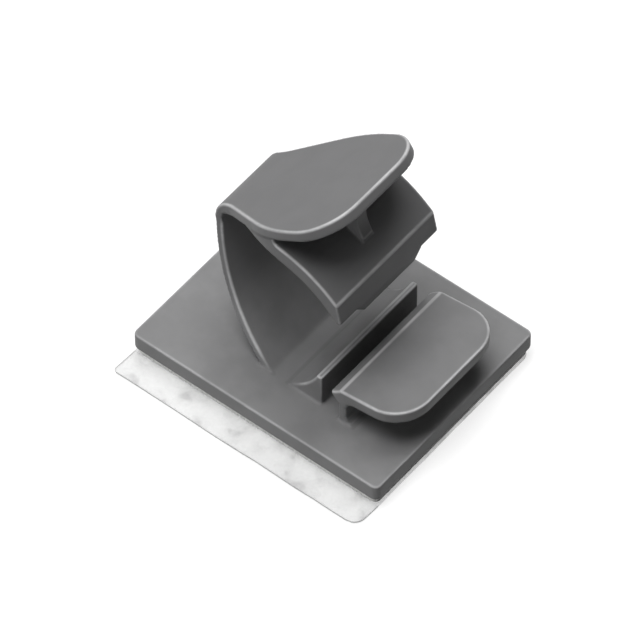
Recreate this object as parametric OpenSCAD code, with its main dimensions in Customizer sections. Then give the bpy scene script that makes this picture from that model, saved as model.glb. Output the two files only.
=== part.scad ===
// Adhesive cable clip: a moulded strap that folds over a cable bundle and snaps
// behind the nose of a release tab. Shown open, as it is moulded and supplied.
//
// Frame: the origin is the centre of the foam pad's lower face. +Z is up, away from
// the surface that the clip is stuck to. +X points from the strap's foot to the tab.
// The cables run along Y. Millimetres.

/* [Base plate] */
// Length of the plate, along X
base_l = 28.4; // [26:0.2:34]
// Width of the plate, along Y
base_w = 22.9; // [18:0.1:28]
// Thickness of the plate
base_t = 1.9; // [1.2:0.1:3]
// Radius of the plate's upright corners
base_r = 0.6; // [0.3:0.1:3]

/* [Foam pad and liner] */
// Thickness of the double-sided foam pad
foam_t = 0.8; // [0.5:0.05:1.6]
// How far the pad's edge lies inside the plate's edge
foam_inset = 0.3; // [0.1:0.05:1.5]
// Thickness of the release liner
liner_t = 0.15; // [0.1:0.05:0.3]
// How far the liner sticks out past the plate on the near side
liner_pull = 2.85; // [1:0.05:6]
// How far the liner's other edges lie inside the plate's edge
liner_inset = 0.05; // [0:0.05:1]
// Radius of the liner's corners at the tab's end
liner_r = 1.3; // [0.5:0.1:3]
// Radius of the liner's corners at the strap's end
liner_back_r = 0.4; // [0.2:0.1:3]

/* [Strap: back wall and bend] */
// Width of the strap at its foot and at its leg
strap_w = 14; // [10:0.1:18]
// Width of the strap at the bend, where it flexes
neck_w = 7.8; // [5:0.1:10]
// Radius with which it starts to widen above the bend
neck_r = 3.5; // [3:0.5:10]
// Outer face of the back wall at the plate, from the plate's centre along X
foot_x = -2.7; // [-4:0.1:-1]
// Slope of the back wall where it leaves the plate, from the plate (degrees)
foot_angle = 37.6; // [34:0.2:42]
// Slope of the back wall where the bend starts, past upright (degrees)
wall_lean = 12.5; // [9:0.5:17]
// Height of the back wall, from the plate to the bend
wall_h = 12.1; // [11:0.1:14]
// Thickness of the back wall
wall_t = 0.75; // [0.6:0.05:1.2]
// Outer radius of the bend
bend_r = 3.05; // [2.8:0.05:3.6]
// Inner radius of the bend, which gets thicker towards the tongue
bend_in = 1.95; // [1.6:0.05:2.2]
// Radius of the fillet inside the wall's foot
foot_fillet = 0.3; // [0.3:0.1:2]

/* [Strap: leg and hook] */
// Slope of the leg's underside where it leaves the bend (degrees)
leg_rise = 45; // [38:1:52]
// Thickness of the leg
leg_t = 1.75; // [1.4:0.05:2.4]
// Height of the leg's underside at the hook, above the plate
hook_h = 13.4; // [11:0.1:15]
// Height of the hook's front face
lip_drop = 2.35; // [1.9:0.05:3.2]
// How far the hook's lower edge stands out past its upper edge
lip_out = 0.5; // [0.2:0.05:0.9]
// Thickness of the hook at its lower edge
lip_t = 0.65; // [0.4:0.05:0.9]
// Width of the tooth in the middle of the hook
tooth_w = 9.2; // [5:0.1:11]
// How far the tooth reaches below the hook
tooth_drop = 1; // [0.4:0.05:1.6]

/* [Tongue] */
// Length of the finger tongue, from the bend to its nose
tongue_l = 17.3; // [14:0.1:21]
// Width of the tongue
tongue_w = 14.5; // [11:0.1:18]
// Thickness of the tongue
tongue_t = 1.15; // [0.8:0.05:1.6]
// Slope of the tongue (degrees)
tongue_angle = 35.2; // [31:0.2:39]
// Radius of the tongue's nose corners
nose_r = 4.5; // [2:0.1:5]
// Angle at which the tongue and the leg widen from the bend, each side (degrees)
flare_angle = 25; // [20:0.5:28]
// Radius that ends this flare
shoulder_r = 11; // [7:0.5:13]
// Thickness of the web between the tongue and the leg
web_t = 1.4; // [0.8:0.1:2.4]
// Set-back of the web's front edge from the hook's front face
web_back = 2.7; // [1.8:0.1:4]
// How far the web's ends run forward along the tongue and the leg
web_horn = 0.7; // [0.2:0.05:1]
// Radius of the web's hollow front edge
web_r = 5; // [4:0.1:8]
// Radius of the crotch between the tongue and the leg
crotch_r = 0.5; // [0.3:0.05:0.9]

/* [Latch ridge] */
// Front face of the ridge, from the plate's centre along X
ridge_x = 4.3; // [3.6:0.1:5.4]
// Height of the ridge above the plate
ridge_h = 3.7; // [3:0.1:5]
// Width of the ridge's foot, along X
ridge_foot = 3.9; // [3:0.1:4.4]
// Width of the ridge's crest, along X
ridge_top = 0.55; // [0.3:0.05:1.2]
// How much the hollow back of the ridge turns, from foot to crest (degrees)
ridge_turn = 40; // [15:1:60]

/* [Release tab] */
// Gap between the ridge and the tab's catch nose
groove = 1.2; // [0.9:0.05:2]
// Width of the tab, along Y
tab_w = 14.7; // [10:0.1:18]
// How far the tab's front edge stays behind the plate's edge
tab_back = 0.1; // [0:0.05:1]
// Thickness of the tab's plate
tab_t = 1.4; // [0.9:0.05:1.8]
// Height of the catch nose above the plate
nose_h = 3.15; // [2.8:0.05:4.5]
// Rise of the sloped lead-in from the catch nose to the tab's top
lead_h = 1.05; // [0.4:0.05:1.6]
// Length of the lead-in, along X
lead_l = 1.2; // [0.6:0.05:1.8]
// Slope of the tab's plate (degrees)
tab_angle = 7.4; // [0:0.2:12]
// How far the catch nose stands out past the tab's wall
nose_out = 1; // [0.5:0.05:1.4]
// Thickness of the wall that carries the tab
tab_wall = 0.85; // [0.6:0.05:1.4]
// Radius of the fillets at the wall's foot and head
tab_fillet = 0.8; // [0.3:0.05:1.2]
// Radius of the tab's front corners
tab_r = 3.6; // [1:0.1:5]
// Radius of the tab's back corners
tab_back_r = 0.5; // [0.2:0.1:1.5]

/* [Hidden] */
$fn = 64;

GREY = [0.42, 0.42, 0.43];
WHITE = [0.93, 0.93, 0.9];
CLEAR = [0.9, 0.92, 0.93];

// Upper face of the plate
deck = foam_t + base_t;
// Depth by which every form on the plate is rooted in it
root = min(0.5, base_t / 2);
// Longer than any width, for cuts and for profiles that are trimmed later
far = 2 * (base_l + base_w + tongue_l);

// Points are [x, z] with z above the plate. A heading is the direction of travel
// along the strap, in degrees from +X, and it falls as the strap turns over.
function ahead(h) = [cos(h), sin(h)];
function inward(h) = [sin(h), -cos(h)];
function arc(c, r, h0, h1, n) =
    [for (i = [0 : n]) c - r * inward(h0 + (h1 - h0) * i / n)];

// Back wall: one arc from the plate to the bend
foot_h = 180 - foot_angle;
bend_h = 90 + wall_lean;
wall_r = wall_h / (cos(foot_angle) - sin(wall_lean));
wall_c = [foot_x, 0] + wall_r * inward(foot_h);
wall_end = wall_c - wall_r * inward(bend_h);
// The wall's inner face ends in a fillet that runs out along the plate
wall_in_r = wall_r - wall_t;
wall_in_h = acos(-wall_c[1] / wall_in_r) - foot_fillet / wall_in_r * 180 / PI;
wall_in = wall_c - wall_in_r * inward(wall_in_h);
fillet_l = wall_in[1] / sin(wall_in_h);
fillet_at = wall_in - fillet_l * ahead(wall_in_h);
foot_curve = [for (i = [1 : 5]) let (t = i / 5)
    (1 - t) * (1 - t) * wall_in + 2 * t * (1 - t) * fillet_at
    + t * t * (fillet_at + [fillet_l, 0])];

// Bend: each face turns about its own centre
bend_c = wall_end + bend_r * inward(bend_h);
bend_in_c = wall_end + (wall_t + bend_in) * inward(bend_h);
// Degrees by which the bend's profile reaches into the wall
bend_root = 1;
// The strap starts to widen where the bend's inner face starts
flare_x = (wall_end + wall_t * inward(bend_h))[0];

// Leg: its underside is an arc from the bend to the hook's heel
nose_x = ridge_x + groove;
tab_l = base_l / 2 - tab_back - nose_x;
hook_x = nose_x + lip_out;
// The hook's lower edge slopes down towards its back
lip_slope = 0.15;
heel = [hook_x - lip_out, hook_h];
leg_start = bend_in_c - bend_in * inward(leg_rise);
chord = heel - leg_start;
chord_h = atan2(chord[1], chord[0]);
leg_r = norm(chord) / (2 * sin(leg_rise - chord_h));
leg_c = leg_start + leg_r * inward(leg_rise);
leg_end_h = 2 * chord_h - leg_rise;
leg_top_r = leg_r + leg_t;
function leg_top(x) = leg_c[1] + sqrt(leg_top_r * leg_top_r - pow(x - leg_c[0], 2));
tip = [hook_x, leg_top(hook_x)];
tip_h = -asin((hook_x - leg_c[0]) / leg_top_r);

// Tongue: a flat plate that leaves the bend at its own slope
tongue_start = bend_c - bend_r * inward(tongue_angle);
tongue_dir = ahead(tongue_angle);
tongue_in = inward(tongue_angle);
// How far along the tongue's underside a point lies, and how far below its top
function along(p) = (p - tongue_start) * tongue_dir;
function below(p) = (p - tongue_start) * tongue_in;
// Where the leg's top comes out from under the tongue, measured halfway through it
merge_d = below(leg_c) - tongue_t / 2;
merge_s = along(leg_c) + sqrt(leg_top_r * leg_top_r - merge_d * merge_d);
merge = tongue_start + merge_s * tongue_dir + (tongue_t / 2) * tongue_in;
merge_h = atan2(leg_c[0] - merge[0], merge[1] - leg_c[1]);
// Centre of the round crotch that touches the tongue's underside and the leg's top
crotch_d = below(leg_c) - tongue_t - crotch_r;
crotch_s = along(leg_c) + sqrt(pow(leg_top_r + crotch_r, 2) - crotch_d * crotch_d);
crotch_c = tongue_start + crotch_s * tongue_dir + (tongue_t + crotch_r) * tongue_in;

// Height at which the wall has narrowed to the bend's width
neck_z = wall_end[1];

// A plate with round upright corners, r0 on its -X side and r1 on its +X side
module round_plate(l, w, t, r0, r1) {
    translate([r0, -w / 2, 0]) cube([l - r0 - r1, w, t]);
    translate([0, r0 - w / 2, 0]) cube([l / 2, w - 2 * r0, t]);
    translate([l / 2, r1 - w / 2, 0]) cube([l / 2, w - 2 * r1, t]);
    for (s = [-1, 1]) {
        translate([r0, s * (w / 2 - r0), 0]) cylinder(r = r0, h = t);
        translate([l - r1, s * (w / 2 - r1), 0]) cylinder(r = r1, h = t);
    }
}

// A side profile given in [x, z], drawn w wide and centred on the XZ plane
module across(w) {
    rotate([90, 0, 0]) translate([0, 0, -w / 2]) linear_extrude(w) children();
}

// Back wall and bend in side view
module wall_profile() {
    polygon(concat(
        [[foot_x, -root]],
        arc(wall_c, wall_r, foot_h, bend_h, 12),
        arc(wall_c, wall_in_r, bend_h, wall_in_h, 12),
        foot_curve,
        [[foot_curve[len(foot_curve) - 1][0], -root]]));
}

// The bend's ends reach a little way into the wall and into the tongue
module bend_profile() {
    polygon(concat(
        [wall_c - wall_r * inward(bend_h + bend_root)],
        arc(bend_c, bend_r, bend_h, tongue_angle, 10),
        [tongue_start + tongue_t * tongue_dir + (tongue_t / 2) * tongue_in],
        arc(bend_in_c, bend_in, leg_rise, bend_h, 10),
        [wall_c - wall_in_r * inward(bend_h + bend_root)]));
}

// Leg and hook in side view, with the round crotch under the tongue
module leg_profile() {
    polygon(concat(
        arc(leg_c, leg_r, leg_rise, leg_end_h, 20),
        [tip + [lip_out - lip_t, -lip_drop - lip_slope], tip + [lip_out, -lip_drop]],
        arc(leg_c, leg_top_r, tip_h, merge_h, 12),
        [tongue_start + (tongue_t / 2) * tongue_in]));
}

module crotch_profile() {
    difference() {
        polygon([
            merge,
            tongue_start + crotch_s * tongue_dir + (tongue_t / 2) * tongue_in,
            tongue_start + crotch_s * tongue_dir + tongue_t * tongue_in,
            crotch_c,
            leg_c + leg_top_r * (crotch_c - leg_c) / (leg_top_r + crotch_r),
            leg_c + (leg_r + leg_t / 2) * (crotch_c - leg_c) / (leg_top_r + crotch_r),
            leg_c + (leg_r + leg_t / 2) * (merge - leg_c) / leg_top_r]);
        translate(crotch_c) circle(crotch_r);
    }
}

// Tongue in side view
module tongue_profile() {
    polygon([
        tongue_start,
        tongue_start + tongue_l * tongue_dir,
        tongue_start + tongue_l * tongue_dir + tongue_t * tongue_in,
        tongue_start + tongue_t * tongue_in]);
}

// Web between the tongue and the leg, with a hollow front edge
module web_profile() {
    web_x = hook_x - web_back;
    web_end = web_x + web_horn;
    roof_s = (web_end - tongue_start[0]) / cos(tongue_angle);
    // The gap's upper and lower side at the web's front edge
    roof = tongue_start[1] + (web_x - tongue_start[0]) * tan(tongue_angle)
        - tongue_t / cos(tongue_angle);
    floor_z = leg_top(web_x);
    difference() {
        polygon([
            crotch_c - [2 * crotch_r, 0],
            tongue_start + crotch_s * tongue_dir + (tongue_t / 2) * tongue_in,
            tongue_start + roof_s * tongue_dir + (tongue_t / 2) * tongue_in,
            [web_end, leg_top(web_end) - leg_t / 2],
            [crotch_c[0], leg_top(crotch_c[0]) - leg_t / 2]]);
        translate([web_x + web_r, (roof + floor_z) / 2]) circle(web_r);
    }
}

// Plan outline of the strap and the tongue forward of the bend, for a full width w
module plan_outline(w) {
    y_line = w / 2 - shoulder_r * (1 - cos(flare_angle));
    y_neck = neck_w / 2 + neck_r * (1 - cos(flare_angle));
    x_neck = flare_x + neck_r * sin(flare_angle);
    x_line = x_neck + (y_line - y_neck) / tan(flare_angle);
    x_full = x_line + shoulder_r * sin(flare_angle);
    side = concat(
        [[-far, neck_w / 2]],
        [for (i = [0 : 4]) let (a = flare_angle * i / 4)
            [flare_x + neck_r * sin(a), neck_w / 2 + neck_r * (1 - cos(a))]],
        [for (i = [0 : 6]) let (a = flare_angle * (1 - i / 6))
            [x_full - shoulder_r * sin(a), w / 2 - shoulder_r * (1 - cos(a))]],
        [[far, w / 2]]);
    polygon(concat(side, [for (i = [len(side) - 1 : -1 : 0]) [side[i][0], -side[i][1]]]));
}

// Back wall: as wide as the strap at its foot, and narrowing to the bend
module back_wall() {
    intersection() {
        across(far) wall_profile();
        rotate([90, 0, 90]) translate([0, 0, -far / 2]) linear_extrude(far)
            polygon([
                [-strap_w / 2, -deck], [strap_w / 2, -deck], [strap_w / 2, 0],
                [neck_w / 2, neck_z], [neck_w / 2, far], [-neck_w / 2, far],
                [-neck_w / 2, neck_z], [-strap_w / 2, 0]]);
    }
}

// Bend, leg and hook, trimmed to the plan outline
module leg() {
    intersection() {
        across(strap_w) union() {
            bend_profile();
            leg_profile();
            crotch_profile();
        }
        translate([0, 0, -far / 2]) linear_extrude(far) plan_outline(strap_w);
    }
    across(web_t) web_profile();
    hook_tooth();
}

// Tooth in the middle of the hook, with sloped ends, that bites under the catch nose
module hook_tooth() {
    low = tip + [lip_out, -lip_drop];
    // Thickness of the tooth behind the hook's lower edge, and how far its point leans out
    tooth_t = 0.6 * lip_t;
    tooth_lean = 0.05;
    intersection() {
        across(far) polygon([
            low + [-tooth_t, lip_drop / 3],
            low,
            low + [tooth_lean, -tooth_drop],
            low + [-tooth_t, -tooth_drop],
            low + [-lip_t, -lip_slope]]);
        rotate([90, 0, 90]) translate([0, 0, -far / 2]) linear_extrude(far)
            polygon([
                [-tooth_w / 2, low[1] + lip_drop], [-tooth_w / 2, low[1]],
                [tooth_drop - tooth_w / 2, low[1] - tooth_drop],
                [tooth_w / 2 - tooth_drop, low[1] - tooth_drop],
                [tooth_w / 2, low[1]], [tooth_w / 2, low[1] + lip_drop]]);
    }
}

// Finger tongue: a sloping plate with a round nose, cut square to its own plane
module tongue() {
    // Corner radius of the far end, which lies behind the tongue and is trimmed away
    hidden_r = 0.5;
    intersection() {
        across(far) tongue_profile();
        translate([0, 0, -far / 2]) linear_extrude(far) plan_outline(tongue_w);
        translate([tongue_start[0], 0, tongue_start[1]]) rotate([0, -tongue_angle, 0])
            translate([-tongue_l, 0, -2 * tongue_t])
                round_plate(2 * tongue_l, tongue_w, 3 * tongue_t, hidden_r, nose_r);
    }
}

// Latch ridge: upright towards the tab, with a hollow back towards the cables
module ridge() {
    back = [ridge_x - ridge_foot, 0];
    crest = [ridge_x - ridge_top, ridge_h];
    d = crest - back;
    chord_a = atan2(d[1], d[0]);
    r = norm(d) / (2 * sin(ridge_turn / 2));
    // The hollow's centre lies above the chord
    c = back + r * [-sin(chord_a - ridge_turn / 2), cos(chord_a - ridge_turn / 2)];
    across(strap_w) polygon(concat(
        [back - [0, root]],
        [for (i = [0 : 8]) let (a = chord_a - ridge_turn / 2 + ridge_turn * i / 8)
            c + r * [sin(a), -cos(a)]],
        [[ridge_x, ridge_h], [ridge_x, -root]]));
}

// Release tab: a plate on a thin upright wall, with the catch nose over the groove
module release_tab() {
    wall_x = nose_x + nose_out;
    top0 = [nose_x + lead_l, nose_h + lead_h];
    front_x = nose_x + tab_l;
    front_z = top0[1] + (front_x - top0[0]) * tan(tab_angle);
    wall_f = wall_x + tab_wall;
    head_z = top0[1] + (wall_f - top0[0]) * tan(tab_angle) - tab_t;
    // Each fillet is drawn with one point between its ends, this far from the corner
    fillet_mid = 0.3 * tab_fillet;
    intersection() {
        across(tab_w) polygon([
            [nose_x, nose_h],
            top0,
            [front_x, front_z],
            [front_x, front_z - tab_t],
            [wall_f + tab_fillet, head_z + tab_fillet * tan(tab_angle)],
            [wall_f + fillet_mid, head_z - fillet_mid],
            [wall_f, head_z - tab_fillet],
            [wall_f, tab_fillet],
            [wall_f + fillet_mid, fillet_mid],
            [wall_f + tab_fillet, 0],
            [wall_f + tab_fillet, -root],
            [wall_x, -root],
            [wall_x, nose_h - nose_out]]);
        translate([nose_x, 0, -root]) round_plate(tab_l, tab_w, far, tab_back_r, tab_r);
    }
}

module clip() {
    color(GREY) {
        translate([-base_l / 2, 0, foam_t]) round_plate(base_l, base_w, base_t, base_r, base_r);
        translate([0, 0, deck]) {
            back_wall();
            leg();
            tongue();
            ridge();
            release_tab();
        }
    }
}

module foam_tape() {
    color(WHITE) translate([foam_inset - base_l / 2, 0, 0])
        round_plate(base_l - 2 * foam_inset, base_w - 2 * foam_inset, foam_t, base_r, base_r);
}

module release_liner() {
    l = base_l - 2 * liner_inset;
    w = base_w - liner_inset + liner_pull;
    color(CLEAR) translate([-l / 2, (base_w / 2 - liner_inset) - w / 2, -liner_t])
        round_plate(l, w, liner_t, liner_back_r, liner_r);
}

clip();
foam_tape();
release_liner();
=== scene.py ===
import math
import bmesh
import bpy
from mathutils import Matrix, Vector
from mathutils.bvhtree import BVHTree
from mathutils.kdtree import KDTree


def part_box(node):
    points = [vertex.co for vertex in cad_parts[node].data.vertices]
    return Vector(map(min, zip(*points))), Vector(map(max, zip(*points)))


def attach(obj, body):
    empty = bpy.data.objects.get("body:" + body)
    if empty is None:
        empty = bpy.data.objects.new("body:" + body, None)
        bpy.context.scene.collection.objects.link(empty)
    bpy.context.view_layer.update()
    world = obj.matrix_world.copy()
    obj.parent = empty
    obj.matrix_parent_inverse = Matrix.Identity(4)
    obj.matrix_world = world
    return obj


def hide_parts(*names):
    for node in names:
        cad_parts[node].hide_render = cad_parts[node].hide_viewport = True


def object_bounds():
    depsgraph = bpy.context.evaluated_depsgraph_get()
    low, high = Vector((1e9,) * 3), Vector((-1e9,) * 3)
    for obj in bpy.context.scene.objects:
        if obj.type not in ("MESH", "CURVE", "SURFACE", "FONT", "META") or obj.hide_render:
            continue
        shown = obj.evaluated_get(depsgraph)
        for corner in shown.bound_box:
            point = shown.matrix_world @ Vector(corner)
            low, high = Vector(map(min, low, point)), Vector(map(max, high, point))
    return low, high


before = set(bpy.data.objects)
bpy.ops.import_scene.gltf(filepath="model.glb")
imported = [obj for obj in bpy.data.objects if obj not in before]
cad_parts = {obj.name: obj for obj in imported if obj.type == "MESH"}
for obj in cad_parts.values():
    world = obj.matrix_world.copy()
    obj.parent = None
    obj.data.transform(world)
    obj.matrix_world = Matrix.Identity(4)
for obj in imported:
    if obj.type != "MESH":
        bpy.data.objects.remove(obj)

cad_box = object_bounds()
scene = bpy.context.scene


# Clip
# Plate, strap, tongue, ridge and tab are one moulding in a tough, springy grey plastic with a
# fine satin skin. It comes out of one mould, so every edge has the small radius that the mould
# leaves, and the inside corners are slightly filled.
CLIP_LIGHTER = (0.225, 0.225, 0.227, 1)
CLIP_DARKER = (0.195, 0.195, 0.197, 1)
# Painted shade: the upper parts are painted darker
CLIP_UPPER_SHADE = (0.148, 0.148, 0.15, 1)
# Painted highlight along the edges
CLIP_EDGE_HIGHLIGHT = (0.55, 0.55, 0.555, 1)
# Painted shade in inside corners and under square lower edges
CLIP_HOLLOW_SHADE = (0.06, 0.06, 0.06, 1)
UPPER_SHADE_SPAN = (0.006, 0.010)            # heights between which the painted shade of the upper parts takes over
CLIP_ROUGHNESS = (0.46, 0.54)
EDGE_POLISH = 0.12                     # how much smoother the edges are where the highlight is painted
EDGE_HIGHLIGHT_COVER = 0.95                      # how much of the painted edge highlight shows where it is full
HOLLOW_SHADE_COVER, UNDER_SHADE_COVER = 0.2, 0.75  # the same for the painted shade in inside corners and along square lower edges
CLIP_VOXEL = 0.00011                   # fineness of the skin
CLIP_ROUND_STEPS = 9                   # more steps give a larger edge radius
CLIP_TRIANGLES = 170000
SAME_PLACE = 0.000001                  # corners of the CAD's loose triangles closer than this are one

# Edges and inside corners, along which highlight and shade are painted into the skin's colour
SLIVER = 0.00002                       # shorter edges in the mesh are dissolved first
FLAT_ANGLE = math.radians(2)           # and so are folds flatter than this
CREASE_ANGLE = math.radians(22)        # a fold sharper than this is a crease
CREASE_STEP = 0.00008                  # spacing of the points along a crease
EDGE_WIDTH = 0.00024                   # half-width of the painted highlight along the edges
HOLLOW_WIDTH = 0.00022                 # half-width of the painted shade in inside corners
SQUARE_ANGLE = math.radians(60)        # a sharper fold that faces down gets painted shade
FACES_DOWN = -0.3                      # a normal's Z below which an edge faces down
SIDE_HIGHLIGHT, TOP_HIGHLIGHT = 0.4, 0.9         # painted highlight on an edge that faces sideways, and what facing up adds
COVER_HEIGHT = 0.008                   # plastic this close above an edge shades it and weakens its painted highlight
COVER_START = 0.0006                   # the search for it starts this far outside the edge
COVERED_HIGHLIGHT = 0.15                    # share of the painted highlight that is left right under a cover
PLATE_TOP = 0.0027                     # height of the plate's upper face
FOOT_HEIGHT = 0.0015                   # the painted highlight on a rising edge is full this far above the plate
PLATE_HIGHLIGHT = 0.6                       # the plate's own edges get less painted highlight than the others

# Filling of the small step inside the bend, where the tongue's underside starts
TONGUE_SLOPE = math.radians(35.2)
STEP_CORNER = Vector((-0.008511, 0, 0.017013))    # where the underside starts, in the clip's middle
STEP_REACH = 0.0012                               # how far back from there the filling runs
STEP_RISE = 0.0005                                # how deep it is rooted in the tongue
STEP_BACK_HALF, STEP_FRONT_HALF = 0.0039, 0.0041  # half its width at its two ends


def merged_copy(node, name):
    """The CAD node's triangles as one closed mesh with shared corners."""
    bm = bmesh.new()
    bm.from_mesh(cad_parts[node].data)
    bmesh.ops.remove_doubles(bm, verts=bm.verts, dist=SAME_PLACE)
    mesh = bpy.data.meshes.new(name)
    bm.to_mesh(mesh)
    bm.free()
    piece = bpy.data.objects.new(name, mesh)
    scene.collection.objects.link(piece)
    return piece


def baked(piece):
    """Turns a piece's modifiers into a plain mesh and takes them off."""
    bpy.context.view_layer.update()
    seen = piece.evaluated_get(bpy.context.evaluated_depsgraph_get())
    mesh = bpy.data.meshes.new_from_object(seen)
    piece.modifiers.clear()
    piece.data = mesh
    mesh.name = piece.name
    return piece


def edge_highlight_and_shade(edge, point, around):
    """How strong the painted highlight on an edge is at a point, up to 1, and -1 for painted
    shade on a square edge that faces down.

    The highlight is strongest where the edge faces up and no plastic above shades it, and fades
    out at a foot."""
    out = (edge.link_faces[0].normal + edge.link_faces[1].normal) / 2
    if out.z < FACES_DOWN:
        return -1.0 if edge.calc_face_angle() > SQUARE_ANGLE else 0.0
    highlight = min(1.0, SIDE_HIGHLIGHT + TOP_HIGHLIGHT * out.z)
    cover = around.ray_cast(point + COVER_START * out, (0, 0, 1), COVER_HEIGHT)[3]
    if cover:
        highlight *= COVERED_HIGHLIGHT + (1 - COVERED_HIGHLIGHT) * (cover / COVER_HEIGHT) ** 2
    if max(corner.co.z for corner in edge.verts) > PLATE_TOP + SLIVER:
        return highlight * min(1.0, max(0.0, (point.z - PLATE_TOP) / FOOT_HEIGHT))
    return highlight * PLATE_HIGHLIGHT


def creases(mesh, sign):
    """Points along the sharp edges (sign 1) or inside corners (sign -1), and how strongly each shows."""
    bm = bmesh.new()
    bm.from_mesh(mesh)
    bmesh.ops.dissolve_degenerate(bm, dist=SLIVER, edges=bm.edges)
    bmesh.ops.dissolve_limit(bm, angle_limit=FLAT_ANGLE, verts=bm.verts, edges=bm.edges)
    around = BVHTree.FromBMesh(bm)
    points, strengths = [], []
    for edge in bm.edges:
        if len(edge.link_faces) != 2 or sign * edge.calc_face_angle_signed() < CREASE_ANGLE:
            continue
        start, end = (corner.co for corner in edge.verts)
        steps = math.ceil((end - start).length / CREASE_STEP)
        for i in range(steps + 1):
            point = start.lerp(end, i / steps)
            # The step that close_step fills is no crease
            from_step = point - STEP_CORNER
            if math.hypot(from_step.x, from_step.z) > STEP_REACH / 2:
                points.append(point)
                strengths.append(edge_highlight_and_shade(edge, point, around) if sign > 0 else 1.0)
    bm.free()
    return points, strengths


def mark_creases(piece, name, crease, width):
    """Stores on each corner of the skin how near a crease of the given (points, strengths) is."""
    tree = KDTree(len(crease[0]))
    for i, point in enumerate(crease[0]):
        tree.insert(point, i)
    tree.balance()
    mask = []
    for corner in piece.data.vertices:
        _, i, distance = tree.find(corner.co)
        mask.append(crease[1][i] * math.exp(-(distance / width) ** 2))
    piece.data.attributes.new(name, "FLOAT", "POINT").data.foreach_set("value", mask)


def close_step(piece):
    """Carries the tongue's flat underside on until it meets the bend's round inner face."""
    along = Vector((math.cos(TONGUE_SLOPE), 0, math.sin(TONGUE_SLOPE)))
    up = Vector((-math.sin(TONGUE_SLOPE), 0, math.cos(TONGUE_SLOPE)))
    bm = bmesh.new()
    bm.from_mesh(piece.data)
    corners = []
    for back, half_width in ((STEP_REACH, STEP_BACK_HALF), (0, STEP_FRONT_HALF)):
        for rise in (0, STEP_RISE):
            for side in (-1, 1):
                at = STEP_CORNER - back * along + rise * up
                corners.append(bm.verts.new(at + Vector((0, side * half_width, 0))))
    bmesh.ops.convex_hull(bm, input=corners)
    bm.to_mesh(piece.data)
    bm.free()


def socket(group, name, kind, value=None, out=False):
    """Adds a named input or output to a node group."""
    made = group.interface.new_socket(name, in_out="OUTPUT" if out else "INPUT", socket_type=kind)
    if value is not None:
        made.default_value = value
    return made


def math_node(tree, operation, a, b=None):
    """A Math node whose inputs are numbers or other nodes' outputs."""
    node = tree.nodes.new("ShaderNodeMath")
    node.operation = operation
    for slot, value in zip(node.inputs, (a, b)):
        if value is None:
            continue
        if isinstance(value, (int, float)):
            slot.default_value = value
        else:
            tree.links.new(value, slot)
    return node.outputs[0]


def cloudy_group():
    """Soft clouding that moulded plastic, foam and film all show, with fine grain on top."""
    group = bpy.data.node_groups.new("cloudy_skin", "ShaderNodeTree")
    socket(group, "Cloud size", "NodeSocketFloat", 0.004)
    socket(group, "Grain size", "NodeSocketFloat", 0.0002)
    socket(group, "Clouds", "NodeSocketFloat", out=True)
    socket(group, "Grain", "NodeSocketFloat", out=True)
    given = group.nodes.new("NodeGroupInput")
    result = group.nodes.new("NodeGroupOutput")
    place = group.nodes.new("ShaderNodeTexCoord")
    for size, made, detail in (("Cloud size", "Clouds", 3.0), ("Grain size", "Grain", 2.0)):
        noise = group.nodes.new("ShaderNodeTexNoise")
        noise.inputs["Detail"].default_value = detail
        per_metre = math_node(group, "DIVIDE", 1.0, given.outputs[size])
        group.links.new(place.outputs["Object"], noise.inputs["Vector"])
        group.links.new(per_metre, noise.inputs["Scale"])
        group.links.new(noise.outputs["Fac"], result.inputs[made])
    return group


cloudy_skin = cloudy_group()


def ramp(tree, value, span, results=(0.0, 1.0)):
    """Maps the values of a span to a span of results, with soft ends."""
    node = tree.nodes.new("ShaderNodeMapRange")
    node.interpolation_type = "SMOOTHSTEP"
    for name, number in zip(("From Min", "From Max", "To Min", "To Max"), span + results):
        node.inputs[name].default_value = number
    tree.links.new(value, node.inputs["Value"])
    return node.outputs["Result"]


def mixed(tree, factor, a, b):
    """A colour between a and b, each a colour or another node's output."""
    node = tree.nodes.new("ShaderNodeMix")
    node.data_type = "RGBA"
    tree.links.new(factor, node.inputs["Factor"])
    for slot, value in ((node.inputs[6], a), (node.inputs[7], b)):
        if isinstance(value, tuple):
            slot.default_value = value
        else:
            tree.links.new(value, slot)
    return node.outputs[2]


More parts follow.
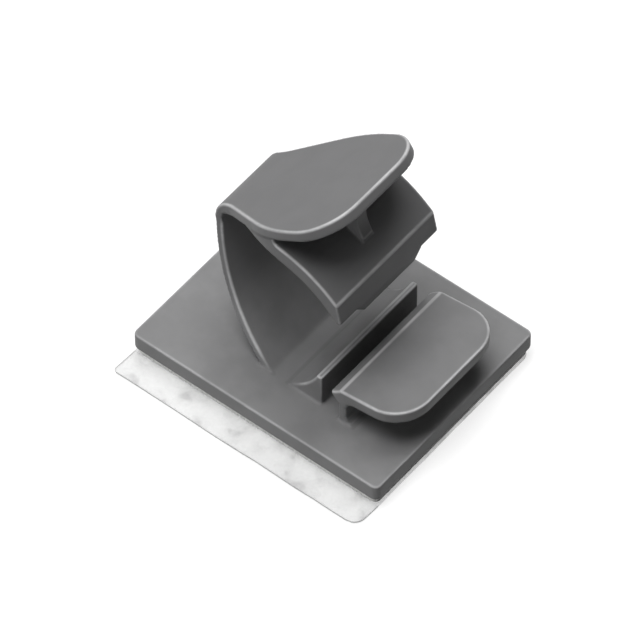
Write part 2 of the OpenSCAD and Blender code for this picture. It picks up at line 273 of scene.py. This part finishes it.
def clip_plastic():
    """Grey satin plastic with a painted highlight along its edges and painted shade in inside corners."""
    material = bpy.data.materials.new("clip_plastic")
    material.use_nodes = True
    tree = material.node_tree
    plastic = tree.nodes["Principled BSDF"]
    plastic.inputs["IOR"].default_value = 1.49
    plastic.inputs["Specular IOR Level"].default_value = 0.22
    skin = tree.nodes.new("ShaderNodeGroup")
    skin.node_tree = cloudy_skin
    skin.inputs["Cloud size"].default_value = 0.0035
    skin.inputs["Grain size"].default_value = 0.00012
    # Clouding of a few per cent
    body = mixed(tree, ramp(tree, skin.outputs["Clouds"], (0.32, 0.68)), CLIP_DARKER, CLIP_LIGHTER)
    # Painted shade: the strap and the tongue, higher up, are painted darker than the thick plate
    place = tree.nodes.new("ShaderNodeTexCoord")
    height = tree.nodes.new("ShaderNodeSeparateXYZ")
    tree.links.new(place.outputs["Object"], height.inputs[0])
    body = mixed(tree, ramp(tree, height.outputs["Z"], UPPER_SHADE_SPAN), body, CLIP_UPPER_SHADE)
    # Painted highlight along the edges, and painted shade in corners and along square lower edges, marked
    # -1
    marks = {}
    for name in ("edge", "hollow"):
        marks[name] = tree.nodes.new("ShaderNodeAttribute")
        marks[name].attribute_name = name
    edge = ramp(tree, marks["edge"].outputs["Fac"], (0.1, 0.8), (0.0, EDGE_HIGHLIGHT_COVER))
    under = ramp(tree, marks["edge"].outputs["Fac"], (-0.9, -0.1), (UNDER_SHADE_COVER, 0.0))
    patches = ramp(tree, skin.outputs["Clouds"], (0.35, 0.6), (0.65, 1.0))
    edge = math_node(tree, "MULTIPLY", edge, patches)
    hollow = ramp(tree, marks["hollow"].outputs["Fac"], (0.1, 0.6), (0.0, HOLLOW_SHADE_COVER))
    body = mixed(tree, math_node(tree, "MAXIMUM", hollow, under), body, CLIP_HOLLOW_SHADE)
    tree.links.new(mixed(tree, edge, body, CLIP_EDGE_HIGHLIGHT), plastic.inputs["Base Color"])
    rough = ramp(tree, skin.outputs["Clouds"], (0.3, 0.7), CLIP_ROUGHNESS)
    polish = math_node(tree, "MULTIPLY", edge, EDGE_POLISH)
    tree.links.new(math_node(tree, "SUBTRACT", rough, polish), plastic.inputs["Roughness"])
    bump = tree.nodes.new("ShaderNodeBump")
    bump.inputs["Strength"].default_value = 0.35
    bump.inputs["Distance"].default_value = 0.00002
    # The clouding is three times as deep as the grain
    relief = math_node(tree, "ADD", skin.outputs["Grain"],
                       math_node(tree, "MULTIPLY", skin.outputs["Clouds"], 3.0))
    tree.links.new(relief, bump.inputs["Height"])
    tree.links.new(bump.outputs["Normal"], plastic.inputs["Normal"])
    return material


clip = merged_copy("clip", "clip_moulding")
edges = creases(clip.data, 1)
hollows = creases(clip.data, -1)
close_step(clip)
skin = clip.modifiers.new("skin", "REMESH")
skin.mode = "VOXEL"
skin.voxel_size = CLIP_VOXEL
skin.use_smooth_shade = True
rounding = clip.modifiers.new("rounding", "SMOOTH")
rounding.factor = 0.5
rounding.iterations = CLIP_ROUND_STEPS
baked(clip)
thin = clip.modifiers.new("thin", "DECIMATE")
clip.data.calc_loop_triangles()
thin.ratio = min(1.0, CLIP_TRIANGLES / len(clip.data.loop_triangles))
baked(clip)
mark_creases(clip, "edge", edges, EDGE_WIDTH)
mark_creases(clip, "hollow", hollows, HOLLOW_WIDTH)
clip.data.materials.clear()
clip.data.materials.append(clip_plastic())
clip.data.shade_smooth()
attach(clip, "root")
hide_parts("clip")


# Foam pad
# A pad of white closed-cell foam tape, coated with glue on both faces and pressed on under
# the plate. It is die-cut, so its sides show torn cells and are a little uneven.
FOAM_WHITE = (0.9, 0.9, 0.885, 1)
FOAM_PORE = (0.68, 0.68, 0.67, 1)
FOAM_ROUGHNESS = (0.75, 0.95)
FOAM_CELL = 0.00028
FOAM_TEAR = 0.00007       # how far the cut sides wander
FOAM_R = 0.0006
SIDE_SHARPNESS = 60.0     # a higher power keeps the wander nearer to a layer's sides
WANDER_MIDDLE = 0.62      # noise above this pushes a side out, and below it in
SWELLS_PER_METRE = 140.0  # waves along a curled edge
RIM_SHARPNESS = 300.0     # a higher power keeps the rim mark nearer to the outline


def layer_group():
    """A flat layer with round corners, whose sides wander and whose near edge may curl up.

    The rule is worked row by row: each row along X is drawn in to fit the corner's circle."""
    group = bpy.data.node_groups.new("bonded_layer", "GeometryNodeTree")
    socket(group, "Size", "NodeSocketVector")
    socket(group, "Centre", "NodeSocketVector")
    socket(group, "Corner radius +X", "NodeSocketFloat", 0.001)
    socket(group, "Corner radius -X", "NodeSocketFloat", 0.001)
    socket(group, "Rows along X", "NodeSocketInt", 100)
    socket(group, "Rows along Y", "NodeSocketInt", 80)
    socket(group, "Rows along Z", "NodeSocketInt", 2)
    socket(group, "Side wander", "NodeSocketFloat", 0.0)
    socket(group, "Wander size", "NodeSocketFloat", 0.001)
    socket(group, "Curl height", "NodeSocketFloat", 0.0)
    socket(group, "Curl start", "NodeSocketFloat", 0.0)
    socket(group, "Curl end", "NodeSocketFloat", -1.0)
    socket(group, "Material", "NodeSocketMaterial")
    socket(group, "Geometry", "NodeSocketGeometry", out=True)
    nodes, links = group.nodes, group.links
    given = nodes.new("NodeGroupInput")
    result = nodes.new("NodeGroupOutput")
    # Block of rows
    block = nodes.new("GeometryNodeMeshCube")
    links.new(given.outputs["Size"], block.inputs["Size"])
    for axis in "XYZ":
        links.new(given.outputs["Rows along " + axis], block.inputs["Vertices " + axis])
    size = nodes.new("ShaderNodeSeparateXYZ")
    links.new(given.outputs["Size"], size.inputs[0])
    at = nodes.new("GeometryNodeInputPosition")
    place = nodes.new("ShaderNodeSeparateXYZ")
    links.new(at.outputs[0], place.inputs[0])
    half_l = math_node(group, "MULTIPLY", size.outputs["X"], 0.5)
    half_w = math_node(group, "MULTIPLY", size.outputs["Y"], 0.5)
    radius = math_node(group, "ADD", given.outputs["Corner radius +X"], math_node(
        group, "MULTIPLY", math_node(group, "LESS_THAN", place.outputs["X"], 0.0), math_node(
            group, "SUBTRACT", given.outputs["Corner radius -X"], given.outputs["Corner radius +X"])))
    # Row half-length at this distance from the corner's centre line
    into = math_node(group, "MAXIMUM", 0.0, math_node(
        group, "SUBTRACT", math_node(group, "ABSOLUTE", place.outputs["Y"]),
        math_node(group, "SUBTRACT", half_w, radius)))
    left = math_node(group, "MAXIMUM", 0.0, math_node(
        group, "SUBTRACT", math_node(group, "MULTIPLY", radius, radius),
        math_node(group, "MULTIPLY", into, into)))
    row = math_node(group, "ADD", math_node(group, "SUBTRACT", half_l, radius),
                    math_node(group, "SQRT", left))
    x = math_node(group, "MULTIPLY", math_node(group, "DIVIDE", place.outputs["X"], half_l), row)
    # Wander of the sides, faded out a little way in from them
    wander = nodes.new("ShaderNodeTexNoise")
    wander.inputs["Detail"].default_value = 3.0
    links.new(at.outputs[0], wander.inputs["Vector"])
    links.new(math_node(group, "DIVIDE", 1.0, given.outputs["Wander size"]), wander.inputs["Scale"])
    shifts = nodes.new("ShaderNodeSeparateXYZ")
    links.new(wander.outputs["Color"], shifts.inputs[0])
    moved = {}
    for axis, half, now in (("X", half_l, x), ("Y", half_w, place.outputs["Y"])):
        share = math_node(group, "DIVIDE", place.outputs[axis], half)
        near = math_node(group, "POWER", math_node(group, "ABSOLUTE", share), SIDE_SHARPNESS)
        push = math_node(group, "MULTIPLY", math_node(group, "SIGN", share), math_node(
            group, "MULTIPLY", near, math_node(
                group, "MULTIPLY", given.outputs["Side wander"],
                math_node(group, "SUBTRACT", shifts.outputs[axis], WANDER_MIDDLE))))
        moved[axis] = math_node(group, "ADD", now, push)
    # Curl of the free edge, higher in some places than in others
    reach = nodes.new("ShaderNodeMapRange")
    reach.interpolation_type = "SMOOTHSTEP"
    links.new(place.outputs["Y"], reach.inputs["Value"])
    links.new(given.outputs["Curl start"], reach.inputs["From Min"])
    links.new(given.outputs["Curl end"], reach.inputs["From Max"])
    swell = nodes.new("ShaderNodeTexNoise")
    swell.noise_dimensions = "1D"
    swell.inputs["Detail"].default_value = 1.0
    swell.inputs["Scale"].default_value = SWELLS_PER_METRE
    links.new(place.outputs["X"], swell.inputs["W"])
    lift = math_node(group, "MULTIPLY", math_node(group, "MULTIPLY", reach.outputs["Result"],
                                                  swell.outputs["Fac"]), given.outputs["Curl height"])
    z = math_node(group, "ADD", place.outputs["Z"], lift)
    new_place = nodes.new("ShaderNodeCombineXYZ")
    for name, value in (("X", moved["X"]), ("Y", moved["Y"]), ("Z", z)):
        links.new(value, new_place.inputs[name])
    # The outermost rows on the free side, where the edge may curl, are marked as the rim for the material
    rim = nodes.new("GeometryNodeStoreNamedAttribute")
    rim.data_type = "FLOAT"
    rim.domain = "POINT"
    rim.inputs["Name"].default_value = "rim"
    links.new(block.outputs["Mesh"], rim.inputs["Geometry"])
    across_x = math_node(group, "ABSOLUTE", math_node(group, "DIVIDE", place.outputs["X"], half_l))
    across_y = math_node(group, "ABSOLUTE", math_node(group, "DIVIDE", place.outputs["Y"], half_w))
    outline = math_node(group, "POWER", math_node(group, "MAXIMUM", across_x, across_y), RIM_SHARPNESS)
    free = math_node(group, "LESS_THAN", place.outputs["Y"], given.outputs["Curl start"])
    links.new(math_node(group, "MULTIPLY", outline, free), rim.inputs["Value"])
    shaped = nodes.new("GeometryNodeSetPosition")
    links.new(rim.outputs["Geometry"], shaped.inputs["Geometry"])
    links.new(new_place.outputs[0], shaped.inputs["Position"])
    links.new(given.outputs["Centre"], shaped.inputs["Offset"])
    whole = nodes.new("GeometryNodeRealizeInstances")
    links.new(shaped.outputs[0], whole.inputs[0])
    finish = nodes.new("GeometryNodeSetMaterial")
    links.new(whole.outputs[0], finish.inputs["Geometry"])
    links.new(given.outputs["Material"], finish.inputs["Material"])
    links.new(finish.outputs[0], result.inputs[0])
    return group


bonded_layer = layer_group()


def layer(name, node, values):
    """Makes a layer that fills the CAD node's box, with the group's other inputs by name."""
    low, high = map(Vector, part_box(node))
    piece = bpy.data.objects.new(name, bpy.data.meshes.new(name))
    scene.collection.objects.link(piece)
    tree = piece.modifiers.new("layer", "NODES")
    tree.node_group = bonded_layer
    sockets = {s.name: s.identifier for s in bonded_layer.interface.items_tree if s.in_out == "INPUT"}
    given = {"Size": tuple(high - low), "Centre": tuple((low + high) / 2), **values}
    for key, value in given.items():
        tree[sockets[key]] = value
    return baked(piece)


def foam_material():
    """White foam whose cut cells show as small, slightly darker pores."""
    material = bpy.data.materials.new("foam_white")
    material.use_nodes = True
    tree = material.node_tree
    foam = tree.nodes["Principled BSDF"]
    skin = tree.nodes.new("ShaderNodeGroup")
    skin.node_tree = cloudy_skin
    skin.inputs["Cloud size"].default_value = 0.002
    skin.inputs["Grain size"].default_value = FOAM_CELL
    pores = ramp(tree, skin.outputs["Grain"], (0.3, 0.6))
    tree.links.new(mixed(tree, pores, FOAM_PORE, FOAM_WHITE), foam.inputs["Base Color"])
    tree.links.new(ramp(tree, skin.outputs["Clouds"], (0.3, 0.7), FOAM_ROUGHNESS), foam.inputs["Roughness"])
    bump = tree.nodes.new("ShaderNodeBump")
    bump.inputs["Strength"].default_value = 0.8
    bump.inputs["Distance"].default_value = 0.00006
    tree.links.new(skin.outputs["Grain"], bump.inputs["Height"])
    tree.links.new(bump.outputs["Normal"], foam.inputs["Normal"])
    return material


foam = layer("foam_pad", "foam_tape", {
    "Corner radius +X": FOAM_R, "Corner radius -X": FOAM_R,
    "Rows along X": 220, "Rows along Y": 180, "Rows along Z": 7,
    "Side wander": FOAM_TEAR, "Wander size": FOAM_CELL, "Material": foam_material()})
foam.data.shade_smooth()
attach(foam, "root")
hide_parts("foam_tape")


# Release liner
# A thin, milky film that covers the glue until the clip is stuck down. It is cut wider than
# the pad on one long side, and that free edge is slightly wavy, with finger marks and dust.
LINER_WHITE = (0.85, 0.855, 0.85, 1)
LINER_SMUDGE = (0.6, 0.6, 0.6, 1)
LINER_RIM = (0.42, 0.42, 0.42, 1)
LINER_ROUGHNESS = (0.22, 0.4)
LINER_VEIL = (0.3, 0.5)                            # how milky the film is: 0 clear, 1 opaque
RIM_VEIL = 0.75                                    # and how milky its cut rim is
LINER_R = 0.0013
LINER_BACK_R = 0.0004
LINER_WANDER, LINER_WANDER_SIZE = 0.0002, 0.005    # how far and how often its edges wander
LINER_CURL = 0.0003                                # how high the free edge lifts at most
PAD_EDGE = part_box("foam_tape")[0][1]               # where the free edge starts


def liner_material():
    """Milky film with smudges, denser at its cut rim."""
    material = bpy.data.materials.new("liner_film")
    material.use_nodes = True
    tree = material.node_tree
    film = tree.nodes["Principled BSDF"]
    skin = tree.nodes.new("ShaderNodeGroup")
    skin.node_tree = cloudy_skin
    skin.inputs["Cloud size"].default_value = 0.0022
    skin.inputs["Grain size"].default_value = 0.0005
    marks = ramp(tree, skin.outputs["Clouds"], (0.58, 0.72))
    rim = tree.nodes.new("ShaderNodeAttribute")
    rim.attribute_name = "rim"
    face = mixed(tree, marks, LINER_WHITE, LINER_SMUDGE)
    tree.links.new(mixed(tree, rim.outputs["Fac"], face, LINER_RIM), film.inputs["Base Color"])
    tree.links.new(ramp(tree, skin.outputs["Grain"], (0.3, 0.7), LINER_ROUGHNESS), film.inputs["Roughness"])
    veil = ramp(tree, skin.outputs["Clouds"], (0.4, 0.7), LINER_VEIL)
    rim_veil = math_node(tree, "MULTIPLY", rim.outputs["Fac"], RIM_VEIL)
    tree.links.new(math_node(tree, "MAXIMUM", veil, rim_veil), film.inputs["Alpha"])
    bump = tree.nodes.new("ShaderNodeBump")
    bump.inputs["Strength"].default_value = 0.4
    bump.inputs["Distance"].default_value = 0.0001
    tree.links.new(skin.outputs["Clouds"], bump.inputs["Height"])
    tree.links.new(bump.outputs["Normal"], film.inputs["Normal"])
    return material


liner_low, liner_high = map(Vector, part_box("release_liner"))
liner_mid = (liner_low.y + liner_high.y) / 2
liner = layer("liner_film", "release_liner", {
    "Corner radius +X": LINER_R, "Corner radius -X": LINER_BACK_R,
    "Rows along X": 200, "Rows along Y": 160, "Rows along Z": 2,
    "Side wander": LINER_WANDER, "Wander size": LINER_WANDER_SIZE, "Curl height": LINER_CURL,
    "Curl start": PAD_EDGE - liner_mid, "Curl end": liner_low.y - liner_mid,
    "Material": liner_material()})
liner.data.shade_flat()
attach(liner, "root")
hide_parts("release_liner")


# Studio
# A plain white floor under soft lamps, three high up and one low in front. The floor and the
# sky look white to the camera and in reflections, and light the clip less than they show.
FLOOR_HALF = 1.5                       # half the floor's side
FLOOR_Z = cad_box[0].z
FLOOR_MATT = (0.18, 0.18, 0.18, 1)     # the floor as it throws light back onto the clip
FLOOR_PAPER = (0.34, 0.34, 0.34, 1)    # the floor as it is seen, where the shadow falls on it
FLOOR_GLOW = 0.74                      # and the glow that makes it white elsewhere
SKY_LIGHT = 0.02
LAMP_DISTANCE, LAMP_SIZE = 0.6, 0.32


def white_where_seen(tree, plain, seen, output):
    """Shows `seen` to the camera, in gloss and through film, and `plain` to all other rays."""
    path = tree.nodes.new("ShaderNodeLightPath")
    looks = math_node(tree, "MAXIMUM", path.outputs["Is Camera Ray"], math_node(
        tree, "MAXIMUM", path.outputs["Is Glossy Ray"], path.outputs["Is Transmission Ray"]))
    pick = tree.nodes.new("ShaderNodeMixShader")
    tree.links.new(looks, pick.inputs[0])
    tree.links.new(plain.outputs[0], pick.inputs[1])
    tree.links.new(seen.outputs[0], pick.inputs[2])
    tree.links.new(pick.outputs[0], output.inputs["Surface"])


floor_mesh = bpy.data.meshes.new("floor")
floor_corners = [(x * FLOOR_HALF, y * FLOOR_HALF, FLOOR_Z)
                 for x, y in ((-1, -1), (1, -1), (1, 1), (-1, 1))]
floor_mesh.from_pydata(floor_corners, [], [(0, 1, 2, 3)])
floor = bpy.data.objects.new("floor", floor_mesh)
scene.collection.objects.link(floor)
floor_look = bpy.data.materials.new("floor_white")
floor_look.use_nodes = True
tree = floor_look.node_tree
tree.nodes.remove(tree.nodes["Principled BSDF"])
matt = tree.nodes.new("ShaderNodeBsdfDiffuse")
matt.inputs["Color"].default_value = FLOOR_MATT
paper = tree.nodes.new("ShaderNodeBsdfDiffuse")
paper.inputs["Color"].default_value = FLOOR_PAPER
glow = tree.nodes.new("ShaderNodeEmission")
glow.inputs["Strength"].default_value = FLOOR_GLOW
bright = tree.nodes.new("ShaderNodeAddShader")
tree.links.new(paper.outputs[0], bright.inputs[0])
tree.links.new(glow.outputs[0], bright.inputs[1])
white_where_seen(tree, matt, bright, tree.nodes["Material Output"])
floor_mesh.materials.append(floor_look)

world = bpy.data.worlds.new("studio")
scene.world = world
world.use_nodes = True
tree = world.node_tree
sky = tree.nodes["Background"]
sky.inputs["Color"].default_value = (1, 1, 1, 1)
sky.inputs["Strength"].default_value = SKY_LIGHT
white = tree.nodes.new("ShaderNodeBackground")
white.inputs["Color"].default_value = (1, 1, 1, 1)
white.inputs["Strength"].default_value = 1.0
white_where_seen(tree, sky, white, tree.nodes["World Output"])


def lamp(name, towards, watts):
    """A square soft light that faces the clip from the direction `towards`."""
    light = bpy.data.lights.new(name, "AREA")
    light.shape = "SQUARE"
    light.size = LAMP_SIZE
    light.energy = watts
    made = bpy.data.objects.new(name, light)
    made.location = Vector(towards).normalized() * LAMP_DISTANCE
    made.rotation_euler = (-made.location).to_track_quat("-Z", "Y").to_euler()
    scene.collection.objects.link(made)


# The direction that each lamp stands in, and its watts
LAMPS = {
    "top": ((0, 0, 1), 0.5),
    "far_left": ((-0.2, 0.3, 0.93), 1.75),
    "near_left": ((-0.15, -0.25, 0.95), 2.1),
    "near_low": ((-0.2, -0.95, 0.15), 1.1),
}
for name, (towards, watts) in LAMPS.items():
    lamp(name, towards, watts)

# The camera stands where the photograph was taken from: far away, with a long lens
AZIMUTH, ELEVATION = math.radians(38.69), math.radians(52.05)
LENS_TARGET = Vector((0, 0, PLATE_TOP))
CAMERA_DISTANCE = 0.7
lens = bpy.data.cameras.new("camera")
lens.lens = 433.8
lens.sensor_width = 36
lens.shift_x = -0.0200
lens.shift_y = 0.0200
lens.clip_start = 0.01
camera = bpy.data.objects.new("camera", lens)
scene.collection.objects.link(camera)
away = Vector((math.sin(AZIMUTH) * math.cos(ELEVATION), -math.cos(AZIMUTH) * math.cos(ELEVATION),
               math.sin(ELEVATION)))
camera.location = LENS_TARGET + CAMERA_DISTANCE * away
camera.rotation_euler = (-away).to_track_quat("-Z", "Y").to_euler()
scene.camera = camera
scene.view_settings.view_transform = "Standard"
